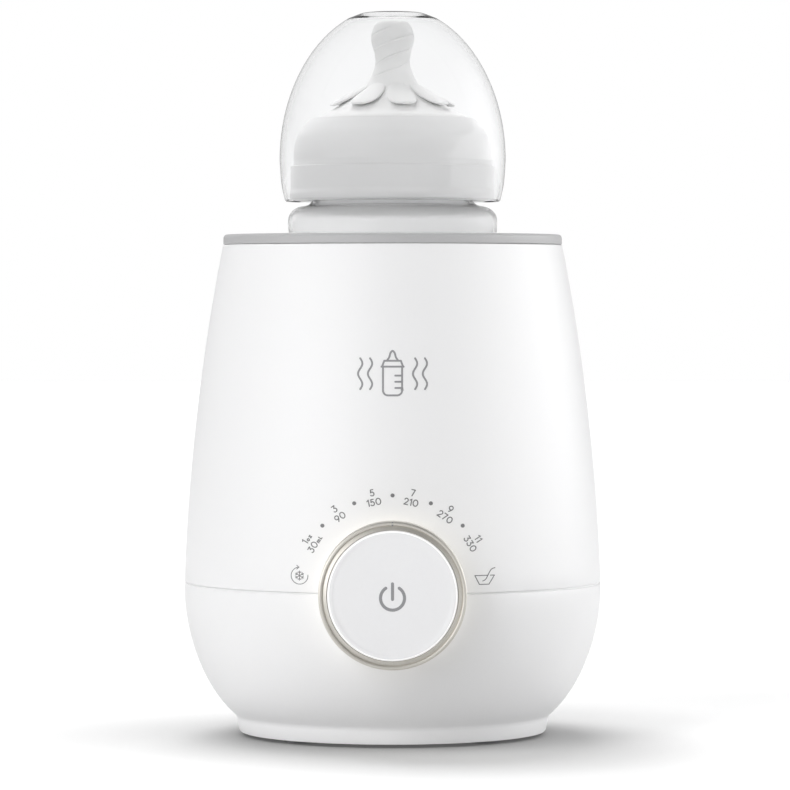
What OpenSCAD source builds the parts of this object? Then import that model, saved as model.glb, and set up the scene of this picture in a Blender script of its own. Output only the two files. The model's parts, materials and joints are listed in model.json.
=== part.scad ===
// Electric bottle warmer with a feeding bottle standing in its well.
// Millimetres, +Z up, the front of the warmer faces -Y, and the feet stand on Z = 0.
// The body is a surface of revolution. Its axis lies behind the origin, so that the
// origin is the bottom centre of the whole object, dial included.

/* [Body] */
// Outer radius of the body at the seam between its two housings
seam_r = 70.35; // [69.5:0.05:71]
// Height of that seam above the table
seam_z = 51.6; // [51:0.1:52.4]
// Outer radius of the upper housing at its top
rim_r = 57.4; // [57:0.1:58]
// Height of the top edge of the upper housing
rim_z = 165.4; // [165:0.1:167]
// Height of the grey trim ring on top
trim_h = 3.5; // [3:0.1:5]
// Lean of the wall from the vertical at the seam, in degrees
seam_lean = 2; // [1:0.5:4]
// Lean of the wall from the vertical at the rim, in degrees
rim_lean = 11; // [9:0.5:12]
// Wall thickness of the housings
wall = 2.2; // [2:0.1:2.4]
// Outer radius of the foot skirt
skirt_r = 52; // [51.8:0.1:52.4]
// Gap between the two housings at the seam
seam_gap = 0.35; // [0.3:0.05:0.6]

/* [Well] */
// Inner radius of the water chamber at its mouth
well_r = 43.5; // [43:0.1:44]
// Inner radius of the water chamber at its floor
well_foot_r = 42.3; // [42:0.1:42.8]
// Wall thickness of the water chamber
well_wall = 2; // [1.8:0.1:2.2]
// Top face of the heater plate
plate_z = 70.2; // [70:0.1:70.6]
// Radius of the heater plate
plate_r = 40.6; // [40:0.1:41]

/* [Dial] */
// Height of the dial's axis
dial_z = 52; // [51.6:0.1:52.4]
// Outer radius of the turning bezel
bezel_r = 23.9; // [23.7:0.1:24.1]
// Distance of the button's face in front of the body's axis
face_y = 82.6; // [82.2:0.1:83]
// Radius of the power button
button_r = 21; // [20.8:0.05:21.05]
// Travel of the power button
button_travel = 1; // [0.6:0.1:1.2]

/* [Bottle] */
// Height of the bottle's foot above the table
bottle_z = 70.3; // [70.3:0.1:71]
// Radius of the bottle at its shoulder
shoulder_r = 35.3; // [35:0.1:35.6]
// Outer radius of the bottle's neck
neck_r = 27.2; // [27:0.1:27.4]
// Wall thickness of the bottle
bottle_wall = 1.8; // [1.6:0.1:2]
// Greatest outer radius of the dome cap
dome_r = 38.2; // [38:0.1:38.6]
// Wall thickness of the dome cap
dome_wall = 1.2; // [1:0.1:1.2]

/* [Hidden] */

fine = 96;          // $fn of large round parts
small = 32;         // $fn of screws and other small round parts
steps = 14;         // segments of a curved profile
axis_y = (face_y - seam_r) / 2;   // the body's axis lies this far behind the origin
fit = 0.1;          // gap between two parts that are assembled
edge_r = 0.45;      // rounding of the housings' edges
white = [0.95, 0.95, 0.95];
grey = [0.78, 0.78, 0.79];
champagne = [0.72, 0.70, 0.66];
clear = [0.9, 0.93, 0.95, 0.35];
steel = [0.75, 0.76, 0.78];
circuit = [0.1, 0.35, 0.2];
black = [0.1, 0.1, 0.1];

// Base
foot_gap = 1.2;               // the foot skirt ends this far above the table
skirt_in_r = skirt_r - 1.5;   // inside of the foot skirt
skirt_top_z = 6.4;            // where the bowl grows out of the skirt
base_z = 2.2;                 // underside of the base plate
base_t = 2.2;                 // its thickness
base_r = skirt_in_r - 0.3;
post_xy = 30;                 // the frame's posts and the feet, in X and in Y
foot_r = 6;
foot_h = 3.2;
screw_r = 1.5;
head_r = 3;
head_h = 1.5;

// Chassis and boards
frame_z = 50.6;               // underside of the frame's ring
frame_t = 2;
boss_ring_r = 62;             // where the frame is screwed to the upper housing
board_z = 14;                 // underside of the power board
board_t = 1.6;
board_x = 76;
board_y = 50;
standoff_x = 33;
standoff_y = 20;

// Mains inlet
cord_z = 20;
cord_boss_r = 8;              // the boss at its face
cord_in = 54;                 // inner end of the gland
cord_out = 67;                // face of the boss
cord_r = 4.8;                 // body of the gland
cord_bore_r = 3;              // hole for the cord

// Heater
gasket_t = 1;
plate_t = 1;
ledge_r = 37;                 // opening in the chamber's floor, over the plate
element_r = 27;               // mean radius of the heating element
element_tube_r = 3.6;
element_arc = 300;
bracket_t = 1.5;
bracket_gap = 0.05;
bracket_z = plate_z - plate_t - 2 * element_tube_r - 2 * bracket_gap - bracket_t;
bracket_screw_r = 47.5;       // radius of the circle that the bracket's screws lie on
terminal_a = (360 - element_arc) / 2 + 3;   // the element's two terminals, either side of the back

// Dial, in its own frame: local +Z points out of the body, local +Y points up
light_r = 23.4;               // light ring, outer radius
light_in_r = 21.2;
light_front = 73.4;
opening_r = light_r + 0.15;   // opening in both housings
carrier_back = 55.5;
carrier_front = 58;
carrier_r = 33;
carrier_screw_x = 22;
carrier_screw_y = 20;
sleeve_in_r = 15.5;           // the hub turns in this sleeve
sleeve_r = 18;
hub_gap = 0.06;               // running clearance of the hub
hub_r = sleeve_in_r - hub_gap;
hub_in_r = 13.2;
guide_r = 12.8;               // the button's guide tube
guide_in_r = 11;
stem_r = 10.9;
board_front = 52;             // front face of the control board
control_r = 26.5;
control_t = 1.6;
switch_h = 3;
led_ring_r = (light_r + light_in_r) / 2;
control_post_r = 24;
web_back = 75.6;              // disc of the hub that carries the bezel
web_front = 77.4;
bezel_back = 73.8;
bezel_front = face_y - 0.5;
bezel_in_r = button_r + 0.25;
button_back = face_y - 3;
stem_end = 56.4;

// Bottle group
neck_top_z = 196;
flange_t = 2.4;               // the teat's flange, clamped by the collar
collar_z = 180.6;
collar_r = 34.5;
collar_step_z = 192;
collar_hole_r = 26.4;
collar_bore_r = 29.4;
teat_r = 26;
dome_z = 180.1;
dome_mid_z = 194;
dome_rise = 52;               // half height of the ellipse that the dome is cut from
dome_top_z = 243.9;

function arc(x, z, r, from, to, n = steps) =
    [for (i = [0:n]) let (a = from + (to - from) * i / n) [x + r * cos(a), z + r * sin(a)]];

function bezier(p0, p1, p2, p3, n = steps) =
    [for (i = [0:n]) let (t = i / n, u = 1 - t)
        u * u * u * p0 + 3 * u * u * t * p1 + 3 * u * t * t * p2 + t * t * t * p3];

function reversed(list) = [for (i = [len(list) - 1:-1:0]) list[i]];

function inwards(list, by) = [for (p = list) [p[0] - by, p[1]]];

// A smooth curve through a few points: each span is a cubic whose ends lean like its neighbours
function smooth(pts, n = 4) = [
    for (k = [0:len(pts) - 2], i = [0:n - 1])
        let (a = pts[max(k - 1, 0)], b = pts[k], c = pts[k + 1], d = pts[min(k + 2, len(pts) - 1)],
             t = i / n)
        0.5 * (2 * b + (c - a) * t + (2 * a - 5 * b + 4 * c - d) * t * t
            + (3 * b - a - 3 * c + d) * t * t * t),
    pts[len(pts) - 1]];

// Shapes that repeat

module place() {
    translate([0, axis_y, 0]) children();
}

module lathe(profile) {
    rotate_extrude($fn = fine) polygon(profile);
}

module ring(out_r, in_r, low, high, facets = fine) {
    difference() {
        translate([0, 0, low]) cylinder(r = out_r, h = high - low, $fn = facets);
        translate([0, 0, low - 1]) cylinder(r = in_r, h = high - low + 2, $fn = facets);
    }
}

module rod(r, low, high) {
    translate([0, 0, low]) cylinder(r = r, h = high - low, $fn = small);
}

module disc(r, low, high) {
    translate([0, 0, low]) cylinder(r = r, h = high - low, $fn = fine);
}

module on_circle(r, angles) {
    for (a = angles) rotate([0, 0, a]) translate([r, 0, 0]) rotate([0, 0, -a]) children();
}

module on_corners(x, y) {
    for (i = [-1, 1], j = [-1, 1]) translate([i * x, j * y, 0]) children();
}

// A pan-head screw: its shaft runs up from z, its head hangs below, with a cross recess
module screw(shaft_r, length, z, top_r = head_r, top_h = head_h) {
    rod(shaft_r, z, z + length);
    difference() {
        rod(top_r, z - top_h, z);
        for (a = [0, 90])
            rotate([0, 0, a]) translate([-top_r * 0.55, -top_r * 0.12, z - top_h - 0.1])
                cube([top_r * 1.1, top_r * 0.24, top_h * 0.5 + 0.1]);
    }
}

// Everything on the dial's axis is drawn along +Z and turned to face the front
module on_dial() {
    translate([0, 0, dial_z]) rotate([90, 0, 0]) children();
}

// A wire: one tube swept along its points
module wire(points, r, sides = 8) {
    n = len(points);
    rings = [for (i = [0:n - 1])
        let (ahead = points[min(i + 1, n - 1)] - points[max(i - 1, 0)],
             d = ahead / norm(ahead),
             s = cross(d, abs(d[2]) > 0.9 ? [1, 0, 0] : [0, 0, 1]),
             u = s / norm(s),
             v = cross(d, u))
        for (k = [0:sides - 1])
            points[i] + r * (cos(360 * k / sides) * u + sin(360 * k / sides) * v)];
    walls = [for (i = [0:n - 2], k = [0:sides - 1])
        let (a = i * sides + k, b = i * sides + (k + 1) % sides)
        [a, b, b + sides, a + sides]];
    polyhedron(rings, concat(walls, [[for (k = [sides - 1:-1:0]) k]],
        [[for (k = [0:sides - 1]) (n - 1) * sides + k]]), convexity = 6);
}

// Body profiles, from the seam outwards

upper_low = seam_z + seam_gap / 2;
lower_high = seam_z - seam_gap / 2;
upper_run = (rim_z - seam_z) / 3;
upper_curve = bezier([seam_r, upper_low + edge_r],
    [seam_r - upper_run * sin(seam_lean), seam_z + upper_run * cos(seam_lean)],
    [rim_r + upper_run * sin(rim_lean), rim_z - upper_run * cos(rim_lean)],
    [rim_r, rim_z - edge_r], 24);
lower_curve = bezier([seam_r, lower_high - edge_r], [seam_r + 0.35, seam_z - 15.6],
    [seam_r - 5.75, 16.5], [skirt_r + 1.6, skirt_top_z + 0.8], 24);
skirt_curve = [[skirt_r + 0.9, skirt_top_z], [skirt_r + 0.65, skirt_top_z - 1],
    [skirt_r, foot_gap + 0.6], [skirt_r - 0.4, foot_gap]];

module body_solid() {
    lathe(concat([[0, foot_gap]], reversed(skirt_curve), reversed(lower_curve), upper_curve, [[0, rim_z]]));
}

module dial_opening() {
    on_dial() disc(opening_r, carrier_back, face_y);
}

// Bosses behind the shell that the dial carrier is screwed to
module carrier_bosses(side) {
    intersection() {
        body_solid();
        on_dial() for (i = [-1, 1]) translate([i * carrier_screw_x, side * carrier_screw_y, 0])
            difference() {
                rod(3.4, carrier_front, seam_r);
                rod(1.3, carrier_front - 1, carrier_front + 3.2);
            }
    }
}

module upper_housing() {
    boss_z = frame_z + frame_t;
    lip_z = rim_z - 5;
    color(white) difference() {
        union() {
            lathe(concat(arc(seam_r - edge_r, upper_low + edge_r, edge_r, -90, 0, 5), upper_curve,
                arc(rim_r - edge_r, rim_z - edge_r, edge_r, 0, 90, 5),
                [[rim_r - wall, rim_z]], reversed(inwards(upper_curve, wall)), [[seam_r - wall, upper_low]]));
            ring(rim_r - 1, rim_r - 6.4, lip_z, lip_z + 2);
            intersection() {
                body_solid();
                for (a = [45:90:315]) rotate([0, 0, a]) {
                    translate([boss_ring_r, 0, 0]) rod(4, boss_z, boss_z + 12);
                    translate([boss_ring_r, -1, boss_z]) cube([9, 2, 12]);
                }
            }
            carrier_bosses(1);
        }
        for (a = [45:90:315]) rotate([0, 0, a]) translate([boss_ring_r, 0, 0])
            rod(1.4, boss_z - 1, boss_z + 9);
        dial_opening();
    }
}

// The seam is a shallow groove: a lip on the lower housing closes it just below the surface
module lower_housing() {
    lip_r = seam_r - edge_r - 0.05;
    lip_z = upper_low - 0.05;
    lip = [[seam_r - wall, lip_z], [lip_r, lip_z], [lip_r, lower_high]];
    outer = concat(lower_curve, skirt_curve);
    inner = concat([[skirt_in_r, foot_gap], [skirt_in_r, base_z + base_t + 0.2], [skirt_in_r - 2.2, base_z + base_t + 0.2],
        [skirt_in_r - 2.2, skirt_top_z], [skirt_r - 0.6, skirt_top_z + 0.8]],
        reversed(inwards(lower_curve, wall)));
    color(white) difference() {
        union() {
            lathe(concat(arc(seam_r - edge_r, lower_high - edge_r, edge_r, 90, 0, 5), outer, inner, lip));
            carrier_bosses(-1);
            cord_boss();
        }
        dial_opening();
        translate([0, 0, cord_z]) rotate([-90, 0, 0]) rod(cord_r + fit, cord_in - 1, cord_out + 1);
    }
}

// Mains inlet: a tapered boss with a flat face at the back, and a rubber gland in it
module cord_boss() {
    low = cord_in + 2.2;
    translate([0, 0, cord_z]) rotate([-90, 0, 0]) translate([0, 0, low])
        cylinder(r1 = cord_boss_r + 3, r2 = cord_boss_r, h = cord_out - low, $fn = small);
}

module cord_gland() {
    color(black) translate([0, 0, cord_z]) rotate([-90, 0, 0]) difference() {
        union() {
            rod(cord_r, cord_in + 2, cord_out);
            rod(cord_r + 1.8, cord_out, cord_out + 1.6);
            rod(cord_r + 1.4, cord_in, cord_in + 2);
        }
        rod(cord_bore_r, cord_in - 1, cord_out + 3);
    }
}

module trim_ring() {
    z = rim_z + fit;
    top = rim_z + trim_h;
    out_r = rim_r - 0.2;
    in_r = well_r + 1.8;
    color(grey) lathe(concat([[in_r, z], [out_r, z]], arc(out_r - 1.2, top - 1.2, 1.2, 0, 90, 6),
        arc(in_r + 0.8, top - 0.8, 0.8, 90, 180, 6)));
}

module water_chamber() {
    lip_z = rim_z - 3;
    floor_z = plate_z + gasket_t;
    flange_r = rim_r - wall - 0.3;
    color(white) difference() {
        union() {
            lathe(concat(
                [[ledge_r, floor_z], [well_foot_r + well_wall, floor_z], [well_r + well_wall - 0.2, lip_z],
                 [flange_r, lip_z], [flange_r, rim_z], [well_r + 1.5, rim_z]],
                arc(well_r + 0.75, rim_z + 1.8, 0.75, 0, 180, 6),
                [[well_r, rim_z], [well_foot_r, floor_z + 6]],
                arc(well_foot_r - 4, floor_z + 6, 4, 0, -90, 6), [[ledge_r, floor_z + 2]]));
            on_circle(bracket_screw_r, [0, 120, 240]) rod(3.6, bracket_z + bracket_t, floor_z + 8);
        }
        rod(well_foot_r - 1, floor_z + 2.1, floor_z + 6);
        on_circle(bracket_screw_r, [0, 120, 240]) rod(1.3, bracket_z, bracket_z + 11);
    }
}

module heater_plate() {
    color(steel) disc(plate_r, plate_z - plate_t, plate_z);
}

module chamber_gasket() {
    color([0.85, 0.85, 0.85]) ring(plate_r, ledge_r + 0.4, plate_z, plate_z + gasket_t);
}

module heating_element() {
    mid_z = plate_z - plate_t - bracket_gap - element_tube_r;
    color(steel) union() {
        translate([0, 0, mid_z]) rotate([0, 0, 90 + (360 - element_arc) / 2])
            rotate_extrude(angle = element_arc, $fn = fine) translate([element_r, 0]) circle(r = element_tube_r, $fn = small);
        for (side = [-1, 1]) rotate([0, 0, 90 + side * terminal_a])
            translate([element_r, 0, 0]) rod(1.2, bracket_z - 7, mid_z - 2);
    }
}

module heater_bracket() {
    top = bracket_z + bracket_t;
    color(steel) difference() {
        union() {
            ring(42, 12, bracket_z, top);
            ring(plate_r - 0.2, plate_r - 1.7, top, plate_z - plate_t);
            for (a = [0, 120, 240]) rotate([0, 0, a]) {
                translate([38, -5, bracket_z]) cube([bracket_screw_r - 38, 10, bracket_t]);
                translate([bracket_screw_r, 0, 0]) rod(5, bracket_z, top);
            }
        }
        on_circle(bracket_screw_r, [0, 120, 240]) rod(1.6, bracket_z - 1, top + 1);
        for (side = [-1, 1]) rotate([0, 0, 90 + side * terminal_a])
            translate([element_r, 0, 0]) rod(2.6, bracket_z - 1, top + 1);
        on_circle(32, [20:40:340]) rod(2.2, bracket_z - 1, top + 1);
    }
}

module bracket_screws() {
    color(steel) on_circle(bracket_screw_r, [0, 120, 240]) screw(1.25, 10, bracket_z, 2.8, 1.8);
}

// A bimetal cut-out against the middle of the heater plate
module thermostat() {
    top = plate_z - plate_t - bracket_gap;
    color(black) union() {
        rod(8.5, top - 6, top);
        for (side = [-1, 1]) translate([side * 5 - 0.4, -2.5, top - 14]) cube([0.8, 5, 8.2]);
    }
}

module temperature_sensor() {
    top = plate_z - plate_t - bracket_gap;
    color(steel) translate([-17, 0, 0]) rod(2.2, bracket_z + bracket_t + 0.2, top);
}

module thermal_fuse() {
    color(steel) translate([18, -14, bracket_z - 3]) rotate([0, 0, 30]) rotate([0, 90, 0]) union() {
        rod(2, -6, 6);
        rod(0.5, -11, 11);
    }
}

module inner_frame() {
    top = frame_z + frame_t;
    ring_in = 50;
    color(white) difference() {
        union() {
            ring(seam_r - wall - 0.3, ring_in, frame_z, top);
            for (a = [45:90:315]) rotate([0, 0, a])
                translate([post_xy * sqrt(2), -3, frame_z - 5]) cube([ring_in + 4 - post_xy * sqrt(2), 6, 5 + frame_t]);
            on_corners(post_xy, post_xy) rod(4, base_z + base_t, top);
        }
        translate([-37, -80, frame_z - 6]) cube([74, 36, 10]);
        on_corners(post_xy, post_xy) rod(1.6, base_z, 20);
        for (a = [45:90:315]) rotate([0, 0, a]) translate([boss_ring_r, 0, 0]) rod(1.7, frame_z - 1, top + 1);
        on_circle(56, [-10:20:190]) rod(2.5, frame_z - 1, top + 1);
    }
}

module frame_screws() {
    color(steel) for (a = [45:90:315]) rotate([0, 0, a]) translate([boss_ring_r, 0, 0])
        screw(1.3, 10, frame_z, 2.8, 2);
}

module base_plate() {
    top = base_z + base_t;
    color(white) difference() {
        union() {
            disc(base_r, base_z, top);
            on_corners(standoff_x, standoff_y) rod(3, top, board_z);
        }
        on_corners(post_xy, post_xy) {
            rod(foot_r + fit, base_z - 1, foot_h);
            rod(1.7, base_z - 1, top + 1);
        }
        on_corners(standoff_x, standoff_y) rod(1.2, top + 1, board_z + 1);
        // air slots
        for (i = [-3:3]) translate([i * 6, 0, 0]) {
            translate([-1.1, -10, base_z - 1]) cube([2.2, 20, base_t + 2]);
            for (j = [-10, 10]) translate([0, j, 0]) rod(1.1, base_z - 1, top + 1);
        }
    }
}

module base_screws() {
    color(steel) on_corners(post_xy, post_xy) screw(screw_r, 14, foot_h, head_r, head_h);
}

module rubber_feet() {
    color(grey) on_corners(post_xy, post_xy) difference() {
        union() {
            translate([0, 0, 0.4]) cylinder(r = foot_r, h = foot_h - 0.4, $fn = 48);
            cylinder(r1 = foot_r - 0.4, r2 = foot_r, h = 0.4, $fn = 48);
        }
        rod(head_r + 0.2, foot_h - head_h - 0.2, foot_h + 1);
    }
}

module power_board() {
    color(circuit) difference() {
        translate([-board_x / 2, -board_y / 2, board_z]) cube([board_x, board_y, board_t]);
        on_corners(standoff_x, standoff_y) rod(1.4, board_z - 1, board_z + 3);
    }
}

// The screws that hold the power board, head up
module board_screws() {
    color(steel) on_corners(standoff_x, standoff_y) translate([0, 0, board_z + board_t])
        mirror([0, 0, 1]) screw(1.1, 7, 0, 2.4, 1.5);
}

module relay() {
    color(black) translate([-24, -12, board_z + board_t]) cube([15.5, 19, 15]);
}

module capacitors() {
    top = board_z + board_t;
    color([0.2, 0.25, 0.5]) union() {
        translate([6, -14, 0]) rod(5, top, top + 20);
        translate([18, -14, 0]) rod(4, top, top + 12);
        translate([2, 0, top]) cube([18, 8, 14]);
    }
}

module terminal_block() {
    top = board_z + board_t;
    color([0.2, 0.5, 0.35]) difference() {
        translate([-14, 14, top]) cube([28, 10, 12]);
        for (i = [-1, 0, 1]) translate([i * 9, 0, 0]) {
            translate([0, 19, 0]) rod(1.8, top + 8, top + 13);
            translate([0, 0, top + 4]) rotate([-90, 0, 0]) rod(1.8, 19, 25);
        }
    }
}

// Two leads from the power board up to the ends of the heating element
heater_lead_route = [[9, 19, 25], [9, 19, 32], [10.5, 20, 40], [13.5, 22, 47]];

module heater_leads() {
    end = [element_r * sin(terminal_a), element_r * cos(terminal_a), bracket_z - 7.2];
    for (side = [-1, 1]) color([0.8, 0.2, 0.15])
        wire([for (p = concat(smooth(heater_lead_route, 3), [end])) [side * p[0], p[1], p[2]]], 1.1);
}

// The dial

module dial_carrier() {
    color(white) on_dial() difference() {
        union() {
            disc(carrier_r, carrier_back, carrier_front);
            disc(sleeve_r, carrier_back, web_back - 0.6);
            on_circle(control_post_r, [90, 210, 330]) rod(2.2, board_front, carrier_back + 1);
        }
        disc(sleeve_in_r, carrier_back - 1, web_back + 1);
        on_circle(control_post_r, [90, 210, 330]) rod(1, board_front - 1, carrier_back);
        on_circle(led_ring_r, [0:60:300]) rod(1.4, carrier_back - 1, carrier_front + 1);
        on_corners(carrier_screw_x, carrier_screw_y) rod(1.5, carrier_back - 1, carrier_front + 1);
    }
}

module carrier_screws() {
    color(steel) on_dial() on_corners(carrier_screw_x, carrier_screw_y) screw(1.2, 5.4, carrier_back, 2.8, 1.8);
}

module light_ring() {
    color([1, 0.97, 0.9, 0.8]) on_dial() ring(light_r, light_in_r, carrier_front, light_front);
}

module control_board() {
    color(circuit) on_dial() difference() {
        disc(control_r, board_front - control_t, board_front);
        on_circle(control_post_r, [90, 210, 330]) rod(1.2, board_front - 3, board_front + 1);
    }
}

module control_screws() {
    color(steel) on_dial() on_circle(control_post_r, [90, 210, 330])
        screw(0.95, 4, board_front - control_t, 1.9, 1.4);
}

module leds() {
    color([1, 1, 0.9]) on_dial() on_circle(led_ring_r, [0:60:300]) rod(1.2, board_front, board_front + 2.6);
}

module encoder_body() {
    color(black) on_dial() ring(20.3, 17.6, board_front, carrier_back - 0.2);
}

module encoder_rotor() {
    color(white) on_dial() ring(17.2, hub_in_r, board_front + 0.4, board_front + 2.4);
}

module button_guide() {
    color(white) on_dial() difference() {
        disc(guide_r, board_front, web_back - 1.6);
        disc(guide_in_r, board_front - 1, web_back);
        for (side = [-1, 1]) translate([side * 11.5 - 1.5, -1, board_front + 6])
            cube([3, 2, web_back]);
    }
}

module tact_switch() {
    color(black) on_dial() difference() {
        translate([-3, -3, board_front]) cube([6, 6, switch_h]);
        rod(1.9, board_front + 1, board_front + 4);
    }
}

module switch_plunger() {
    color([0.3, 0.3, 0.3]) on_dial() rod(1.6, board_front + switch_h - 0.6, stem_end);
}

// Leads from the control board down to the power board
control_lead_route = [[0, control_t - board_front, 34], [0, -49.8, 34], [0, -49, 34], [0, -46, 31], [0, -42, 25],
    [0, -34, 20], [0, -25, 19.5], [0, -22.5, 18], [0, -22.5, 16.2], [0, -22.5, board_z + board_t]];

module control_leads() {
    for (i = [-1.5, -0.5, 0.5, 1.5]) color([0.85, 0.85, 0.85])
        wire([for (p = smooth(control_lead_route, 3)) p + [2 * i, 0, 0]], 0.7);
}

module dial_hub() {
    color(white) on_dial() union() {
        ring(hub_r, hub_in_r, board_front + 2.4, web_back);
        ring(bezel_in_r, hub_in_r, web_back, web_front);
    }
}

module dial_bezel() {
    edge = 1.3;
    color(champagne) on_dial() lathe(concat(
        [[bezel_in_r - 2.2, bezel_back], [bezel_r - 0.3, bezel_back], [bezel_r, bezel_back + 0.4]],
        arc(bezel_r - edge, bezel_front - edge, edge, 0, 90, 6),
        [[bezel_in_r + 0.05, bezel_front - 0.7], [bezel_in_r + 0.05, web_back], [bezel_in_r - 2.2, web_back]]));
}

module power_button() {
    edge = 0.9;
    color(white) on_dial() union() {
        lathe(concat([[0, button_back + 1], [button_r - 1.6, button_back + 1], [button_r - 1.6, button_back - 0.6],
            [button_r, button_back - 0.6]],
            arc(button_r - edge, face_y - edge, edge, 0, 90, 6), [[0, face_y]]));
        ring(stem_r, stem_r - 2, stem_end, button_back + 1.5);
        disc(stem_r - 1, stem_end, stem_end + 2);
        for (side = [-1, 1]) translate([side * 11 - 0.8, -0.8, board_front + 8])
            cube([1.6, 1.6, web_back - board_front - 10]);
    }
}

module button_spring() {
    turns = 3.5;
    low = web_back - 1.6 + 0.52;
    high = button_back + 1 - 0.52;
    color(steel) on_dial() wire([for (i = [0:42]) let (t = i / 42, a = 360 * turns * t)
        [11.9 * cos(a), 11.9 * sin(a), low + (high - low) * t]], 0.5, 6);
}

// The bottle and what is screwed on it

bottle_curve = smooth([[33.2, bottle_z + 7], [33.6, bottle_z + 14], [32.4, bottle_z + 34], [31.6, bottle_z + 52],
    [32.2, bottle_z + 70], [33.8, bottle_z + 88], [shoulder_r - 0.4, bottle_z + 97], [shoulder_r, 173.5],
    [shoulder_r - 0.9, 176.3], [shoulder_r - 3.2, 178], [neck_r + 1.4, 178.9], [neck_r, 180.2]]);

// The inside drops below the outside where the shoulder turns level, to keep its thickness
function bottle_inside() = [for (p = bottle_curve)
    [p[0] - bottle_wall, p[1] - bottle_wall * max(0, min(1, (p[1] - 172) / 6))]];

module bottle_shell() {
    foot = arc(33.2 - 4.7, bottle_z + 4.7, 4.7, -90, -8, 6);
    inner_foot = arc(33.2 - 4.7, bottle_z + 4.9, 4.7 - bottle_wall, -90, -8, 6);
    bead = 0.9;
    color(clear) lathe(concat(
        [[0, bottle_z + 1.2], [24, bottle_z + 1.2], [26, bottle_z]], foot, bottle_curve,
        [for (k = [0:2]) each [[neck_r, 184 + 3 * k], [neck_r + bead, 184.6 + 3 * k], [neck_r + bead, 185.2 + 3 * k],
            [neck_r, 185.8 + 3 * k]]],
        [[neck_r, neck_top_z - 0.4], [neck_r - 0.4, neck_top_z], [neck_r - bottle_wall, neck_top_z]],
        reversed(bottle_inside()), reversed(inner_foot),
        [[26, bottle_z + 2], [24, bottle_z + 3], [0, bottle_z + 3]]));
}

teat_curve = concat([[teat_r, neck_top_z + flange_t], [teat_r, 206]], smooth([[teat_r, 206], [24.8, 208.6], [20.2, 211.1],
    [13.2, 215.9], [9.4, 219.1], [7.3, 222.4], [5.9, 226.7], [6.3, 230.5], [7.3, 235.5], [5.7, 240.1], [2.6, 241.5], [0, 241.7]], 3));

module teat() {
    t = 1.3;
    top = [for (p = teat_curve) if (p[0] > t + 0.4) [p[0] - t, p[1] - (p[1] > 206 ? 0.7 : 0)]];
    color([0.96, 0.96, 0.96, 0.7]) lathe(concat(
        [[teat_r - t, neck_top_z + 0.1], [neck_r + 0.9, neck_top_z + 0.1], [neck_r + 0.9, neck_top_z + flange_t]],
        teat_curve, [[0, 240.3]], reversed(top)));
}

module screw_collar() {
    outer = smooth([[collar_r - 0.9, collar_step_z + 0.4], [collar_r - 1, 197], [collar_r - 2.2, 202],
        [collar_r - 4.6, 205.8], [collar_hole_r + 0.9, 208.2]], 4);
    color(white) lathe(concat(
        [[collar_bore_r, collar_z], [collar_r, collar_z], [collar_r + 0.3, collar_z + 1.4], [collar_r + 0.3, collar_z + 2.4],
         [collar_r, collar_z + 3.4], [collar_r, collar_step_z]],
        outer, [[collar_hole_r, 208], [collar_hole_r, neck_top_z + flange_t + 0.2], [collar_bore_r, neck_top_z + flange_t + 0.2]]));
}

function dome(grow, lift) = concat(
    smooth([[dome_r - 1.9 - grow, dome_z], [dome_r - 0.6 - grow, dome_z + 6], [dome_r - grow, dome_mid_z]], 4),
    [for (i = [1:16]) let (a = 67 * i / 16) [(dome_r - grow) * cos(a), dome_mid_z + (dome_rise - lift) * sin(a)]],
    [[11 - grow / 2, dome_top_z - 0.5 - lift], [8.8 - grow / 2, dome_top_z - lift], [0, dome_top_z - lift]]);

module dome_cap() {
    color(clear) lathe(concat(dome(0, 0), reversed(dome(dome_wall, dome_wall))));
}

place() upper_housing();
place() lower_housing();
place() trim_ring();
place() water_chamber();
place() heater_plate();
place() chamber_gasket();
place() heating_element();
place() heater_bracket();
place() bracket_screws();
place() thermostat();
place() temperature_sensor();
place() thermal_fuse();
place() inner_frame();
place() frame_screws();
place() base_plate();
place() base_screws();
place() rubber_feet();
place() cord_gland();
place() power_board();
place() board_screws();
place() relay();
place() capacitors();
place() terminal_block();
place() heater_leads();
place() dial_carrier();
place() carrier_screws();
place() light_ring();
place() control_board();
place() control_screws();
place() leds();
place() encoder_body();
place() button_guide();
place() tact_switch();
place() control_leads();
place() dial_bezel();
place() dial_hub();
place() encoder_rotor();
place() power_button();
place() switch_plunger();
place() button_spring();
place() bottle_shell();
place() teat();
place() screw_collar();
place() dome_cap();
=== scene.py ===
"""Looks of a baby bottle warmer with a feeding bottle in it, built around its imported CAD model.

Lengths are in millimetres in every function but the ones that make objects, lights and the camera.
"""

import json
import math

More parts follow.
